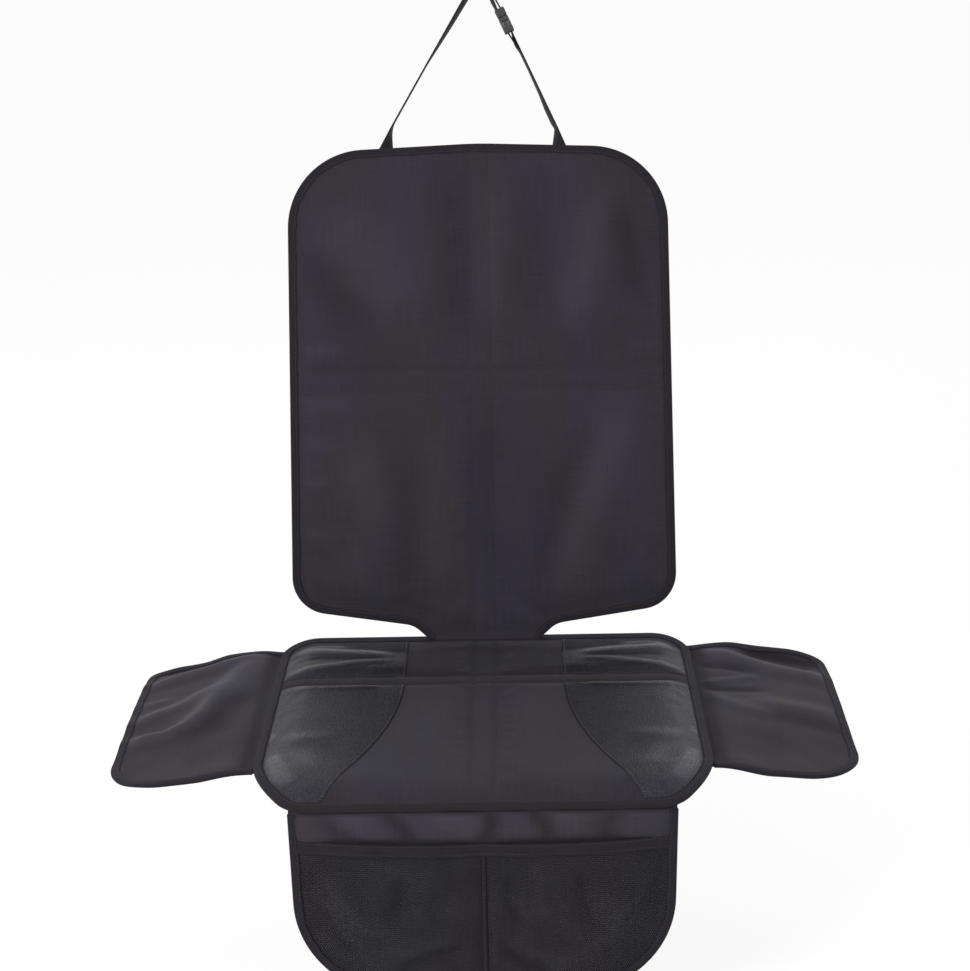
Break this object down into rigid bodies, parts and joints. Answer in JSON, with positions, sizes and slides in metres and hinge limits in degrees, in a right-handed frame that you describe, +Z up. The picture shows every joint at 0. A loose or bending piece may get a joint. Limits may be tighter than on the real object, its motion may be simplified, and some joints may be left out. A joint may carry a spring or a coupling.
{
  "type": "car seat protector mat",
  "caption": "Padded cloth seat protector with an upright back panel, leather-look patches, side wings, a front flap with net pockets and a buckled headrest strap.",
  "frame": {"origin": "middle of the flat underside of the seat panel", "axes": "+Z up, the height of the upright back panel; -Y to the front, where the flap hangs; +X to the right as seen from the front"},
  "size_m": [0.8064, 0.6346, 0.991],
  "materials": {
    "oxford": "woven, matt",
    "tape": "woven tape, matt",
    "leather": "grained, satin",
    "net": "open knit, matt",
    "webbing": "woven webbing, matt",
    "buckle": "moulded, satin"
  },
  "bodies": {
    "root": {"seat_panel": "oxford", "back_panel": "oxford", "left_wing": "oxford", "right_wing": "oxford", "front_flap": "oxford", "seat_binding": "tape", "back_binding": "tape", "left_wing_binding": "tape", "right_wing_binding": "tape", "flap_binding": "tape", "pocket_hem": "tape", "pocket_seam": "tape", "left_front_leather": "leather", "left_rear_leather": "leather", "right_front_leather": "leather", "right_rear_leather": "leather", "pocket_net": "net", "left_strap": "webbing", "right_strap": "webbing", "buckle_socket": "buckle", "buckle_plug": "buckle"}
  },
  "joints": []
}
